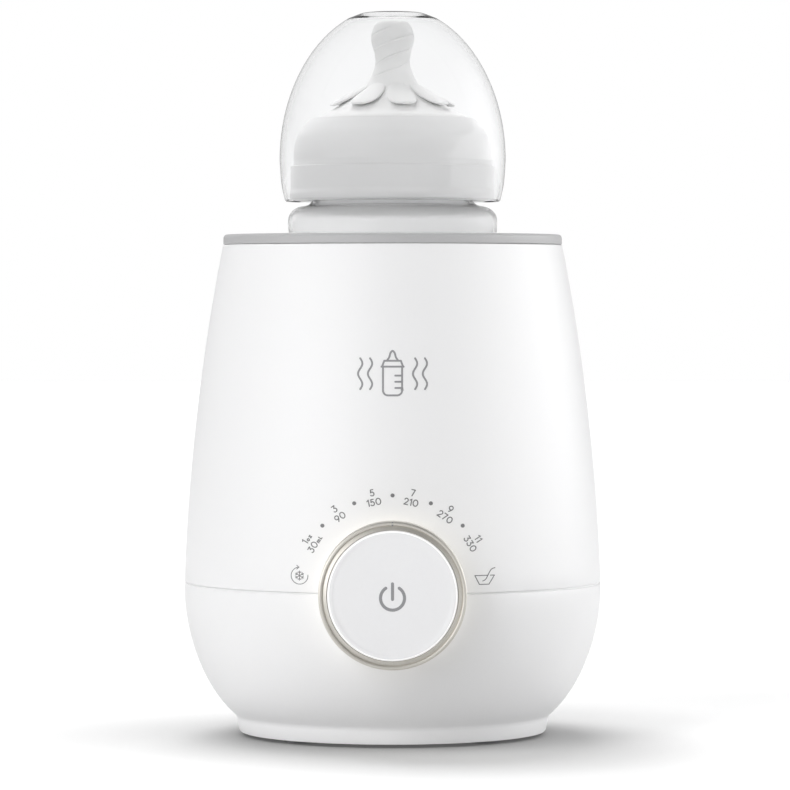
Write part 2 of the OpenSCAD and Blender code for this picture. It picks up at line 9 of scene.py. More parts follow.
import bmesh
import bpy
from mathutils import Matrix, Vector


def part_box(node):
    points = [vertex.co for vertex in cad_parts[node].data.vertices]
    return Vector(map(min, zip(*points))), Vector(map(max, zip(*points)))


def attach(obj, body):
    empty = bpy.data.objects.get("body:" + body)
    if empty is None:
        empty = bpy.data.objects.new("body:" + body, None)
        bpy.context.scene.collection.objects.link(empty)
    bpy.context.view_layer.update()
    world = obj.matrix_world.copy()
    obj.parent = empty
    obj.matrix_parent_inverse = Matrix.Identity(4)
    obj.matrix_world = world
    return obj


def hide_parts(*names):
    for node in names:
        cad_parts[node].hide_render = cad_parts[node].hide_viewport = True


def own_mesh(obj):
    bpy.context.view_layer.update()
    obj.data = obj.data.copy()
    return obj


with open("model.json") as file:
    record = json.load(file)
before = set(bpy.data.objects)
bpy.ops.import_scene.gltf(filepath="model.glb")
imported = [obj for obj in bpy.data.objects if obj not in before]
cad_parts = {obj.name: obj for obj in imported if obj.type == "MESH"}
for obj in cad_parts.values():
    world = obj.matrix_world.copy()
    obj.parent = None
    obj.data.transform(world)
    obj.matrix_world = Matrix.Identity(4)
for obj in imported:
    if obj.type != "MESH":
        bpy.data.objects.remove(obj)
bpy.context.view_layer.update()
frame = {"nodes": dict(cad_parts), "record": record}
scene = bpy.context.scene

MM = 0.001
ROUND = 192  # segments of a large turned piece
FINE = 48  # segments of a small one


# Measures, most read from the CAD model


def span(node):
    """Lowest and highest corner of a CAD node, in millimetres."""
    low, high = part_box(node)
    return low / MM, high / MM


upper_low, upper_high = span("upper_housing")
lower_high = span("lower_housing")[1]
trim_low, trim_high = span("trim_ring")
bezel_low, bezel_high = span("dial_bezel")
button_low, button_high = span("power_button")
light_low, light_high = span("light_ring")
bottle_low, bottle_high = span("bottle_shell")
collar_low, collar_high = span("screw_collar")
teat_low, teat_high = span("teat")
dome_low, dome_high = span("dome_cap")
feet_low, feet_high = span("rubber_feet")
gland_low, gland_high = span("cord_gland")

AXIS_Y = (trim_low.y + trim_high.y) / 2
SEAM_R = upper_high.x
SEAM_Z = (upper_low.z + lower_high.z) / 2  # the lower housing's lip ends just below the upper housing
RIM_R = trim_high.x + 0.2
RIM_Z = upper_high.z
DIAL_Z = (bezel_low.z + bezel_high.z) / 2
BEZEL_R = bezel_high.x
BUTTON_R = button_high.x
FACE = AXIS_Y - button_low.y  # of the button, in front of the body's axis
TRIM_WIDTH = 11.9
BOTTLE_WALL = 1.8
NECK_R = 27.2
CAP_WALL = 1.2


# Curves


def arc(cx, cy, rx, ry, start, end, steps=10):
    """Points of an ellipse from one angle to another, in degrees."""
    turn = [math.radians(start + (end - start) * k / steps) for k in range(steps + 1)]
    return [(cx + rx * math.cos(a), cy + ry * math.sin(a)) for a in turn]


def bezier(p0, p1, p2, p3, steps):
    """A cubic curve from p0 to p3."""
    points = []
    for k in range(steps + 1):
        t = k / steps
        u = 1 - t
        weights = (u**3, 3 * u * u * t, 3 * u * t * t, t**3)
        points.append(tuple(sum(w * p[i] for w, p in zip(weights, (p0, p1, p2, p3))) for i in (0, 1)))
    return points


def smooth(points, steps=6):
    """A Catmull-Rom curve through a few points."""
    out = []
    for k in range(len(points) - 1):
        a, b, c, d = (points[min(max(k + i, 0), len(points) - 1)] for i in (-1, 0, 1, 2))
        for j in range(steps):
            t = j / steps
            out.append(
                tuple(
                    0.5 * (2 * b[i] + (c[i] - a[i]) * t + (2 * a[i] - 5 * b[i] + 4 * c[i] - d[i]) * t * t
                           + (3 * b[i] - a[i] - 3 * c[i] + d[i]) * t**3)
                    for i in (0, 1)
                )
            )
    return out + [tuple(points[-1])]


def rounded(corners, steps=5):
    """A closed outline whose corners (x, z, reach) are rounded off over that reach."""
    out = []
    for k, (x, z, reach) in enumerate(corners):
        here = Vector((x, z))
        if not reach:
            out.append((x, z))
            continue
        before = Vector(corners[k - 1][:2]) - here
        after = Vector(corners[(k + 1) % len(corners)][:2]) - here
        start = here + before.normalized() * min(reach, before.length * 0.49)
        end = here + after.normalized() * min(reach, after.length * 0.49)
        for j in range(steps + 1):
            t = j / steps
            out.append(tuple(start * (1 - t) ** 2 + here * 2 * t * (1 - t) + end * t * t))
    return out


# Places: each turns a point of a piece's own axes into one of the row's frame


def upright(x, y, z):
    return Vector((x, AXIS_Y + y, z))


def on_dial(x, y, z):
    """x to the right and y up from the dial's axis, z in front of the body's axis."""
    return Vector((x, AXIS_Y - z, DIAL_Z + y))


# Making objects


def add_object(name, verts, faces, material, body, replaced=(), sharp=38):
    """A piece that rides a body; edges sharper than that many degrees stay sharp."""
    mesh = bpy.data.meshes.new(name)
    mesh.from_pydata([v * MM for v in verts], [], faces)
    builder = bmesh.new()
    builder.from_mesh(mesh)
    bmesh.ops.remove_doubles(builder, verts=builder.verts, dist=1e-7)
    bmesh.ops.recalc_face_normals(builder, faces=builder.faces)
    builder.to_mesh(mesh)
    builder.free()
    mesh.polygons.foreach_set("use_smooth", [True] * len(mesh.polygons))
    mesh.set_sharp_from_angle(angle=math.radians(sharp))
    mesh.materials.append(material)
    obj = bpy.data.objects.new(name, mesh)
    scene.collection.objects.link(obj)
    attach(obj, body)
    if replaced:
        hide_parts(*replaced)
    return obj


def revolve(outline, place=upright, segments=ROUND, shift=None, first=0):
    """Vertices and faces of a closed (r, z) outline turned about its axis.

    shift(r, z, angle) may move a point, and first is the number of vertices that come before these.
    """
    verts, rings, faces = [], [], []
    for r, z in outline:
        start = len(verts)
        if r < 1e-6:
            rings.append([first + start] * segments)
            verts.append(place(0, 0, z))
            continue
        rings.append([first + start + k for k in range(segments)])
        for k in range(segments):
            a = 2 * math.pi * k / segments
            out_r, out_z = shift(r, z, a) if shift else (r, z)
            verts.append(place(out_r * math.cos(a), out_r * math.sin(a), out_z))
    for ring, after in zip(rings, rings[1:] + rings[:1]):
        for k in range(segments):
            n = (k + 1) % segments
            corners = list(dict.fromkeys((ring[k], ring[n], after[n], after[k])))
            if len(corners) > 2:
                faces.append(corners)
    return verts, faces


def turned(name, outline, material, body, replaced=(), place=upright, segments=ROUND, shift=None):
    verts, faces = revolve(outline, place, segments, shift)
    return add_object(name, verts, faces, material, body, replaced)


# Materials


RELIEF_DEPTH = 0.0001  # in metres


def procedural(name, color, roughness, scale=300, tint=0.03, rough_by=0.04, bump=0.02, **sockets):
    """A Principled material whose colour, roughness and relief vary with a fine noise."""
    mat = bpy.data.materials.new(name)
    mat.use_nodes = True
    nodes, links = mat.node_tree.nodes, mat.node_tree.links
    shader = nodes["Principled BSDF"]
    for socket, value in sockets.items():
        shader.inputs[socket.replace("_", " ")].default_value = value
    coords = nodes.new("ShaderNodeTexCoord")
    noise = nodes.new("ShaderNodeTexNoise")
    noise.inputs["Scale"].default_value = scale
    noise.inputs["Detail"].default_value = 5
    links.new(coords.outputs["Object"], noise.inputs["Vector"])
    ramp = nodes.new("ShaderNodeValToRGB")
    ramp.color_ramp.elements[0].position = 0.3
    ramp.color_ramp.elements[0].color = (*[c * (1 - tint) for c in color], 1)
    ramp.color_ramp.elements[1].position = 0.7
    ramp.color_ramp.elements[1].color = (*color, 1)
    links.new(noise.outputs["Fac"], ramp.inputs["Fac"])
    links.new(ramp.outputs["Color"], shader.inputs["Base Color"])
    rough = nodes.new("ShaderNodeMapRange")
    rough.inputs["To Min"].default_value = roughness - rough_by
    rough.inputs["To Max"].default_value = roughness + rough_by
    links.new(noise.outputs["Fac"], rough.inputs["Value"])
    links.new(rough.outputs["Result"], shader.inputs["Roughness"])
    relief = nodes.new("ShaderNodeBump")
    relief.inputs["Strength"].default_value = bump
    relief.inputs["Distance"].default_value = RELIEF_DEPTH
    links.new(noise.outputs["Fac"], relief.inputs["Height"])
    links.new(relief.outputs["Normal"], shader.inputs["Normal"])
    return mat


shell_white = procedural("shell_white", (0.84, 0.84, 0.845), 0.34, scale=1800, tint=0.01, bump=0.06)
lining_white = procedural("lining_white", (0.82, 0.82, 0.82), 0.28, scale=900, tint=0.02, bump=0.03)
trim_grey = procedural("trim_grey", (0.45, 0.45, 0.455), 0.42, scale=1800, tint=0.03, bump=0.08)
button_white = procedural("button_white", (0.84, 0.84, 0.85), 0.2, scale=900, tint=0.01)
# The button rim's faint glow is a painted highlight for the light its rounded edge catches.
rim_painted_highlight = procedural("rim_painted_highlight", (0.88, 0.88, 0.88), 0.3, scale=900, tint=0.01,
                       Emission_Color=(1, 0.99, 0.97, 1), Emission_Strength=0.2)
champagne = procedural("champagne", (0.68, 0.655, 0.605), 0.34, scale=2500, tint=0.05, bump=0.05,
                       Metallic=0.65)
glow = procedural("glow", (1.0, 0.97, 0.88), 0.5, tint=0.02,
                  Emission_Color=(1.0, 0.93, 0.76, 1), Emission_Strength=0.42)
print_grey = procedural("print_grey", (0.2, 0.2, 0.205), 0.5, scale=3000, tint=0.12)
mark_grey = procedural("mark_grey", (0.3, 0.3, 0.31), 0.5, scale=3000, tint=0.08)
collar_white = procedural("collar_white", (0.8, 0.8, 0.8), 0.3, scale=900, tint=0.02)
silicone = procedural("silicone", (0.94, 0.94, 0.935), 0.38, scale=700, tint=0.02, Subsurface_Weight=0.15,
                      Subsurface_Radius=(0.001, 0.001, 0.001), Subsurface_Scale=1.0,
                      Transmission_Weight=0.12, IOR=1.4)
clear_cap = procedural("clear_cap", (0.975, 0.977, 0.98), 0.03, scale=60, tint=0.005, rough_by=0.01,
                       bump=0.02, Transmission_Weight=1.0, IOR=1.22)
clear_bottle = procedural("clear_bottle", (0.97, 0.972, 0.975), 0.05, scale=60, tint=0.01, rough_by=0.01,
                          bump=0.02, Transmission_Weight=0.72, IOR=1.12)
foot_rubber = procedural("foot_rubber", (0.3, 0.3, 0.31), 0.75, scale=1500, tint=0.15, bump=0.2)
gland_rubber = procedural("gland_rubber", (0.62, 0.62, 0.62), 0.6, scale=1500, tint=0.08, bump=0.15)
steel = procedural("steel", (0.62, 0.62, 0.63), 0.3, scale=900, tint=0.08, rough_by=0.08, Metallic=1.0)
moulded = procedural("moulded", (0.74, 0.74, 0.73), 0.5, scale=1200, tint=0.04, bump=0.1)
gasket_grey = procedural("gasket_grey", (0.55, 0.55, 0.54), 0.7, scale=1500, tint=0.1, bump=0.15)
cast_metal = procedural("cast_metal", (0.6, 0.6, 0.61), 0.45, scale=1500, tint=0.1, bump=0.3, Metallic=1.0)
board_green = procedural("board_green", (0.03, 0.17, 0.08), 0.4, scale=500, tint=0.3, bump=0.05)
black_plastic = procedural("black_plastic", (0.03, 0.03, 0.032), 0.45, scale=1500, tint=0.2, bump=0.1)
blue_sleeve = procedural("blue_sleeve", (0.05, 0.09, 0.28), 0.3, scale=600, tint=0.15)
green_block = procedural("green_block", (0.08, 0.28, 0.14), 0.5, scale=1200, tint=0.1)
red_wire = procedural("red_wire", (0.5, 0.04, 0.03), 0.4, scale=1200, tint=0.15)
white_wire = procedural("white_wire", (0.75, 0.75, 0.74), 0.4, scale=1200, tint=0.06)
led_lens = procedural("led_lens", (1.0, 0.96, 0.85), 0.2, scale=600, tint=0.03,
                      Emission_Color=(1, 0.9, 0.7, 1), Emission_Strength=1.5)

BY_SLOT = {
    "white_shell": shell_white, "grey_trim": trim_grey, "champagne_ring": champagne,
    "white_button": button_white, "light_diffuser": glow, "clear_bottle": clear_bottle,
    "clear_cap": clear_cap, "white_collar": collar_white, "silicone": silicone,
    "white_lining": lining_white, "inner_plastic": moulded, "steel": steel,
    "aluminium_part": cast_metal, "gasket_rubber": gasket_grey, "foot_rubber": foot_rubber,
    "gland_rubber": gland_rubber, "circuit_board": board_green, "black_plastic": black_plastic,
    "blue_sleeve": blue_sleeve, "green_block": green_block, "red_wire": red_wire,
    "white_wire": white_wire, "led_lens": led_lens,
}


# The CAD nodes that stay: smooth shading as a modifier, and their materials


SHARP_FROM = 32  # degrees
WELD = 2e-6  # in metres


def smoothing_group(limit):
    """Geometry nodes that weld a mesh and shade it smooth, but for edges sharper than limit degrees."""
    group = bpy.data.node_groups.new("smooth_by_angle", "GeometryNodeTree")
    for way in ("INPUT", "OUTPUT"):
        group.interface.new_socket("Geometry", in_out=way, socket_type="NodeSocketGeometry")
    nodes, links = group.nodes, group.links
    start = nodes.new("NodeGroupInput")
    weld = nodes.new("GeometryNodeMergeByDistance")
    weld.inputs["Distance"].default_value = WELD
    faces = nodes.new("GeometryNodeSetShadeSmooth")
    edges = nodes.new("GeometryNodeSetShadeSmooth")
    edges.domain = "EDGE"
    edges.inputs["Shade Smooth"].default_value = False
    angle = nodes.new("GeometryNodeInputMeshEdgeAngle")
    above = nodes.new("FunctionNodeCompare")
    above.inputs["B"].default_value = math.radians(limit)
    end = nodes.new("NodeGroupOutput")
    links.new(start.outputs[0], weld.inputs["Geometry"])
    links.new(weld.outputs["Geometry"], faces.inputs["Geometry"])
    links.new(faces.outputs["Geometry"], edges.inputs["Geometry"])
    links.new(angle.outputs["Unsigned Angle"], above.inputs["A"])
    links.new(above.outputs["Result"], edges.inputs["Selection"])
    links.new(edges.outputs["Geometry"], end.inputs[0])
    return group


def dress_cad():
    group = smoothing_group(SHARP_FROM)
    slots = {part["node"]: part["material_slot"] for part in frame["record"]["subparts"]}
    for node, obj in frame["nodes"].items():
        obj.modifiers.new("smooth", "NODES").node_group = group
        if not obj.material_slots:
            obj.data.materials.append(None)
        for slot in obj.material_slots:
            slot.material = BY_SLOT[slots[node]]


# Body


def body_curve():
    """The outside of the upper housing, from the seam up."""
    run = (RIM_Z - SEAM_Z) / 3
    lean, tip = math.radians(2), math.radians(11)
    return bezier(
        (SEAM_R, SEAM_Z),
        (SEAM_R - run * math.sin(lean), SEAM_Z + run * math.cos(lean)),
        (RIM_R + run * math.sin(tip), RIM_Z - run * math.cos(tip)),
        (RIM_R, RIM_Z),
        60,
    )


BODY = body_curve()


def body_radius(z):
    for (r0, z0), (r1, z1) in zip(BODY, BODY[1:]):
        if z <= z1:
            return r0 + (r1 - r0) * (z - z0) / (z1 - z0)
    return RIM_R


def on_body(u, v, lift):
    """The point of the upper housing's front that is seen at (u, v) from the dial's centre."""
    z = DIAL_Z + v
    r = body_radius(z)
    slope = (body_radius(z + 1) - body_radius(z - 1)) / 2
    y = -math.sqrt(r * r - u * u)
    out = Vector((u / r, y / r, -slope)).normalized()
    return Vector((u, AXIS_Y + y, z)) + out * lift


def make_trim():
    low, high = trim_low.z, trim_high.z
    out_r = trim_high.x
    in_r = out_r - TRIM_WIDTH
    outline = rounded([(in_r, low, 0.3), (out_r, low, 0.35), (out_r, high, 1.5), (in_r, high, 1.1)], 8)
    turned("trim", outline, trim_grey, "warmer", ["trim_ring"])


def make_feet():
    """Four pads, each with a hollow in its top that clears a screw's head."""
    height = feet_high.z - feet_low.z
    out_r, hollow_r, floor_z = 6, 3.2, 1.5
    outline = rounded([(0, 0, 0), (out_r, 0, 0.6), (out_r, height, 0.3), (hollow_r, height, 0.2),
                       (hollow_r, floor_z, 0.2), (0, floor_z, 0)])
    reach = feet_high.x - out_r
    verts, faces = [], []
    for x in (-reach, reach):
        for y in (-reach, reach):
            more, joined = revolve(outline, lambda a, b, c: upright(x + a, y + b, c), FINE, None, len(verts))
            verts += more
            faces += joined
    add_object("feet", verts, faces, foot_rubber, "warmer", ["rubber_feet"])


def make_gland():
    """A rubber bush: a bead inside the wall, a neck through it, and a flange and a lip outside."""
    inner, outer = gland_low.y - AXIS_Y, gland_high.y - AXIS_Y
    z = (gland_low.z + gland_high.z) / 2
    flange_r, body_r, bore_r = gland_high.x, 4.8, 3.0
    face = outer - 1.6
    outline = rounded([
        (bore_r, inner, 0.3), (body_r + 1.4, inner, 0.4), (body_r + 1.4, inner + 2, 0.2),
        (body_r, inner + 2, 0), (body_r, face, 0), (flange_r, face, 0.3), (flange_r, face + 0.8, 0.3),
        (flange_r - 1.2, face + 0.9, 0.3), (flange_r - 1.5, outer, 0.4), (bore_r, outer, 0.5)])
    turned("gland", outline, gland_rubber, "warmer", ["cord_gland"],
           lambda a, b, c: Vector((a, AXIS_Y + c, z + b)), FINE)


# Dial and button


def make_bezel():
    """A ring with a gently rounded lip, a fine groove inside it, and a band that rises towards the button."""
    front, back = AXIS_Y - bezel_low.y, AXIS_Y - bezel_high.y
    in_r, lip_r = BUTTON_R + 0.1, BEZEL_R - 1.15
    shelf, web_r = back + 1.8, BUTTON_R - 1.95
    outline = rounded([
        (web_r, back, 0), (BEZEL_R, back, 0.4), (BEZEL_R, front - 0.25, 0.2), (BEZEL_R - 0.6, front, 0.5),
        (lip_r, front - 0.12, 0.1), (lip_r - 0.08, front - 0.85, 0.08), (lip_r - 0.26, front - 0.7, 0.08),
        (in_r + 0.1, front - 0.2, 0.15), (in_r, shelf, 0), (web_r, shelf, 0)])
    turned("bezel", outline, champagne, "dial", ["dial_bezel"], on_dial)
    mark_r = lip_r + 0.35
    ink("bezel_pointer", [[(0, mark_r - 0.35), (0, mark_r + 0.35)]], 0.6, mark_grey, "dial",
        lambda u, v, lift: on_dial(u, v, front - 0.1 + lift * 0.6))


def make_light_ring():
    front, back = AXIS_Y - light_low.y, AXIS_Y - light_high.y
    in_r, out_r = 21.2, light_high.x
    outline = rounded([(in_r, back, 0.2), (out_r, back, 0.2), (out_r, front, 0.5), (in_r, front, 0.2)])
    turned("glow_ring", outline, glow, "warmer", ["light_ring"], on_dial)


def paint_rim_highlight(button, from_r, from_z):
    """Gives the rim of the button's face a white with a faint glow: a painted highlight for the light that
    its rounded edge catches.
    """
    button.data.materials.append(rim_painted_highlight)
    for face in button.data.polygons:
        x, y, z = face.center / MM
        if math.hypot(x, z - DIAL_Z) > from_r and AXIS_Y - y > from_z:
            face.material_index = 1


def make_button():
    """A cap with a dished face and a hollow behind its rim, on a stem that goes into the dial."""
    stem_r, stem_end = 10.9, AXIS_Y - button_high.y
    dish, under, skirt = FACE - 0.22, FACE - 2, FACE - 3.6
    outline = rounded([
        (0, dish, 0), (BUTTON_R - 2.2, dish, 1.0), (BUTTON_R - 1.3, FACE, 0.4), (BUTTON_R, FACE, 0.7),
        (BUTTON_R, skirt, 0.2), (BUTTON_R - 1.6, skirt, 0), (BUTTON_R - 1.6, under, 0), (stem_r, under, 0),
        (stem_r, stem_end, 0.3), (0, stem_end, 0)], 8)
    button = turned("button", outline, button_white, "button", ["power_button"], on_dial)
    # painted highlight on the rim of the button's face
    paint_rim_highlight(button, BUTTON_R - 0.75, FACE - 2.2)
    centre, ring_r, half_gap = -0.65, 3.85, 34
    circle = arc(0, centre, ring_r, ring_r, 90 + half_gap, 450 - half_gap, 40)
    bar = [(0, centre + ring_r + 0.75), (0, centre - 0.4)]
    ink("power_symbol", [circle, bar], 1.0, mark_grey, "button",
        lambda u, v, lift: on_dial(u, v, dish + lift))


def make_spring():
    """The button's return spring, which in the real warmer shortens as the button goes in; this coil keeps
    one length.
    """
    low, high = span("button_spring")
    turns, wire, rows, cols = 3.5, 0.5, 140, 12
    r = high.x - wire
    start, end = AXIS_Y - high.y + wire, AXIS_Y - low.y - wire
    verts, faces = [], []
    for i in range(rows + 1):
        a = 2 * math.pi * turns * i / rows
        for j in range(cols):
            b = 2 * math.pi * j / cols
            out, z = r + wire * math.cos(b), start + (end - start) * i / rows + wire * math.sin(b)
            verts.append(on_dial(out * math.cos(a), out * math.sin(a), z))
    for i in range(rows):
        for j in range(cols):
            n = (j + 1) % cols
            faces.append((i * cols + j, i * cols + n, (i + 1) * cols + n, (i + 1) * cols + j))
    faces += [tuple(range(cols)), tuple(rows * cols + j for j in range(cols))]
    spring = add_object("spring", verts, faces, steel, "warmer", ["button_spring"])
    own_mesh(spring)


# Printing


INK_TOP = 0.05  # how far print stands above its surface
INK_ROOT = -0.08  # and how far it goes into it


def cross_sections(points, width, step=1.2):
    """(centre, sideways, half width) along a pen stroke with round ends."""
    path = [Vector(points[0])]
    for a, b in zip(points, points[1:]):
        a, b = Vector(a), Vector(b)
        parts = max(1, math.ceil((b - a).length / step))
        path += [a.lerp(b, k / parts) for k in range(1, parts + 1)]
    half = width / 2
    sections = []
    for k, point in enumerate(path):
        before = (point - path[k - 1]).normalized() if k else (path[1] - point).normalized()
        after = (path[k + 1] - point).normalized() if k + 1 < len(path) else before
        along = (before + after).normalized()
        side = Vector((-along.y, along.x))
        wider = 1 / max(0.6, side.dot(Vector((-after.y, after.x))))
        sections.append((point, side, half * wider))
    first = (path[1] - path[0]).normalized()
    last = (path[-1] - path[-2]).normalized()
    cap = [math.radians(a) for a in (12, 38, 64)]
    first_side, last_side = sections[0][1], sections[-1][1]
    head = [(path[0] - first * half * math.cos(a), first_side, half * math.sin(a)) for a in cap]
    tail = [(path[-1] + last * half * math.cos(a), last_side, half * math.sin(a)) for a in reversed(cap)]
    return head + sections + tail


def ink(name, strokes, width, material, body, place):
    """Pen strokes as a thin raised layer; place(u, v, lift) puts each point on the surface."""
    verts, faces = [], []
    for points in strokes:
        sections = cross_sections(points, width)
        start = len(verts)
        for centre, side, half in sections:
            left, right = centre + side * half, centre - side * half
            verts += [place(left.x, left.y, INK_TOP), place(right.x, right.y, INK_TOP),
                      place(right.x, right.y, INK_ROOT), place(left.x, left.y, INK_ROOT)]
        for k in range(len(sections) - 1):
            a = start + 4 * k
            for j in range(4):
                n = (j + 1) % 4
                faces.append((a + j, a + n, a + 4 + n, a + 4 + j))
        end = start + 4 * (len(sections) - 1)
        faces += [tuple(start + j for j in range(4)), tuple(end + 3 - j for j in range(4))]
    return add_object(name, verts, faces, material, body)


GLYPHS = {  # width, and strokes on a cell one unit high
    "0": (0.76, [arc(0.38, 0.5, 0.38, 0.5, 90, 450, 20)]),
    "1": (0.26, [[(0.0, 0.82), (0.24, 1), (0.24, 0)]]),
    "2": (0.6, [arc(0.3, 0.71, 0.28, 0.29, 165, -35) + [(0, 0)], [(0, 0), (0.6, 0)]]),
    "3": (0.6, [[(0.04, 1), (0.54, 1)], [(0.54, 1), (0.27, 0.62)], arc(0.27, 0.31, 0.31, 0.31, 90, -150)]),
    "5": (0.6, [[(0.52, 1), (0.13, 1)], [(0.13, 1), (0.08, 0.55)], arc(0.27, 0.32, 0.32, 0.32, 128, -145)]),
    "7": (0.58, [[(0, 1), (0.58, 1)], [(0.58, 1), (0.2, 0)]]),
    "9": (0.66, [arc(0.33, 0.68, 0.32, 0.32, 0, 360, 16), [(0.63, 0.58), (0.5, 0.3), (0.28, 0)]]),
    "o": (0.46, [arc(0.23, 0.24, 0.23, 0.24, 90, 450, 14)]),
    "z": (0.38, [[(0, 0.48), (0.38, 0.48)], [(0.38, 0.48), (0, 0)], [(0, 0), (0.38, 0)]]),
    "m": (0.6, [[(0, 0), (0, 0.48)], arc(0.15, 0.33, 0.15, 0.15, 180, 0, 6) + [(0.3, 0)],
                arc(0.45, 0.33, 0.15, 0.15, 180, 0, 6) + [(0.6, 0)]]),
    "L": (0.3, [[(0, 0.72), (0, 0)], [(0, 0), (0.3, 0)]]),
}
LETTER_GAP = 0.29  # of a number's height
SMALL_LETTERS = "ozmL"
SMALL_SIZE = 0.75


def text_strokes(text, height, angle, radius):
    """Strokes of a word that stands outwards at a clock angle and a radius from the dial's centre."""
    sized = [(letter, height * (SMALL_SIZE if letter in SMALL_LETTERS else 1)) for letter in text]
    width = sum(GLYPHS[letter][0] * size for letter, size in sized) + LETTER_GAP * height * (len(text) - 1)
    turn = math.radians(angle)
    across, outward = Vector((math.cos(turn), -math.sin(turn))), Vector((math.sin(turn), math.cos(turn)))
    pen = -width / 2
    strokes = []
    for letter, size in sized:
        glyph_width, lines = GLYPHS[letter]
        for line in lines:
            strokes.append([tuple(across * (pen + x * size) + outward * (radius + y * size - height / 2))
                            for x, y in line])
        pen += glyph_width * size + LETTER_GAP * height
    return strokes


SCALE_STEP = 11.8  # degrees from each mark of the scale to the next
SCALE_UP = 0.7  # the scale's centre above the dial's


def make_scale():
    height, outer_r, inner_r, dot_r = 2.0, 32.5, 29.4, 31.0
    numbers, dots = [], []
    for step, ounces, millilitres in ((-5, "1oz", "30mL"), (-3, "3", "90"), (-1, "5", "150"),
                                      (1, "7", "210"), (3, "9", "270"), (5, "11", "330")):
        numbers += text_strokes(ounces, height, step * SCALE_STEP, outer_r)
        numbers += text_strokes(millilitres, height, step * SCALE_STEP, inner_r)
    for step in (-4, -2, 0, 2, 4):
        turn = math.radians(step * SCALE_STEP)
        x, y = dot_r * math.sin(turn), dot_r * math.cos(turn)
        dots.append([(x - 0.02, y), (x + 0.02, y)])

    def on_scale(u, v, lift):
        return on_body(u, v + SCALE_UP, lift)

    ink("scale_numbers", numbers, 0.34, print_grey, "warmer", on_scale)
    ink("scale_dots", dots, 1.3, print_grey, "warmer", on_scale)


def make_icons():
    """A thaw mark, a snowflake in a circular arrow, and a food mark, a bowl with a spoon."""
    x, y, r, arm, twig_length = -30.2, 5.4, 2.75, 1.5, 0.6
    thaw = [arc(x, y, r, r, 95, 365, 30)]
    for k in range(3):
        turn = math.radians(30 + 60 * k)
        dx, dy = math.cos(turn), math.sin(turn)
        thaw.append([(x - arm * dx, y - arm * dy), (x + arm * dx, y + arm * dy)])
        for side in (-1, 1):
            twig = (x + side * 0.85 * dx, y + side * 0.85 * dy)
            for bend in (-50, 50):
                way = turn + math.radians(bend)
                reach = side * twig_length
                thaw.append([twig, (twig[0] + reach * math.cos(way), twig[1] + reach * math.sin(way))])
    thaw.append([(x - 0.9, y + r + 0.55), (x - 0.2, y + r), (x - 0.9, y + r - 0.65)])
    ink("icon_thaw", thaw, 0.24, print_grey, "warmer", on_body)
    x, y = 29.9, 5.0
    half, low, high = 3.2, -2.4, 0.5
    spoon = smooth([(x - 0.6, y - 1.3), (x + 0.4, y - 0.7), (x + 1.5, y + 1.4), (x + 2.3, y + 2.5),
                    (x + 3.4, y + 2.9)], 4)
    bowl = [
        [(x - half, y + high), (x - 1.7, y + low), (x + 1.4, y + low), (x + half, y + high)],
        [(x - half, y + high), (x + 0.9, y + high)],
        [(x + 1.9, y + high), (x + half, y + high)],
        spoon,
    ]
    ink("icon_food", bowl, 0.28, print_grey, "warmer", on_body)


def make_pictogram():
    """A generic bottle between two warm waves, printed where such a warmer carries its label."""
    up = 71.5  # above the dial's centre
    half, low, shoulder, corner = 3.1, up - 7.5, up + 1.6, 1.6
    outline = ([(half, shoulder), (half, low + corner)]
               + arc(half - corner, low + corner, corner, corner, 0, -90, 6)
               + arc(corner - half, low + corner, corner, corner, -90, -180, 6) + [(-half, shoulder)])
    teat = smooth([(-1.9, shoulder + 2.1), (-1.1, shoulder + 3.2), (-0.7, shoulder + 4.6),
                   (0, shoulder + 5.3), (0.7, shoulder + 4.6), (1.1, shoulder + 3.2),
                   (1.9, shoulder + 2.1)], 4)
    strokes = [outline, [(-half - 0.5, shoulder + 0.2), (half + 0.5, shoulder + 0.2)],
               [(-half + 0.4, shoulder + 2.1), (half - 0.4, shoulder + 2.1)],
               [(-half - 0.3, shoulder + 0.2), (-half + 0.4, shoulder + 2.1)],
               [(half + 0.3, shoulder + 0.2), (half - 0.4, shoulder + 2.1)],
               teat]
    for k in range(3):
        strokes.append([(half - 2.2, low + 2.4 + 2 * k), (half, low + 2.4 + 2 * k)])
    for side in (-1, 1):
        for k in range(2):
            x = side * (half + 4.2 + 3.2 * k)
            strokes.append([(x + 0.7 * math.sin(t / 20 * 3 * math.pi), up - 5.5 + 10 * t / 20)
                            for t in range(21)])
    ink("pictogram", strokes, 0.6, mark_grey, "warmer", on_body)


# Bottle, teat, collar and cap


def bottle_outside():
    """The bottle's waisted side, from above its foot to its neck."""
    low, r = bottle_low.z, bottle_high.x
    return smooth([(33.2, low + 7), (33.6, low + 14), (32.4, low + 34), (31.6, low + 52), (32.2, low + 70),
                   (33.8, low + 88), (r - 0.4, low + 97), (r, 173.5), (r - 0.9, 176.3), (r - 3.2, 178),
                   (NECK_R + 1.4, 178.9), (NECK_R, 180.2)], 8)


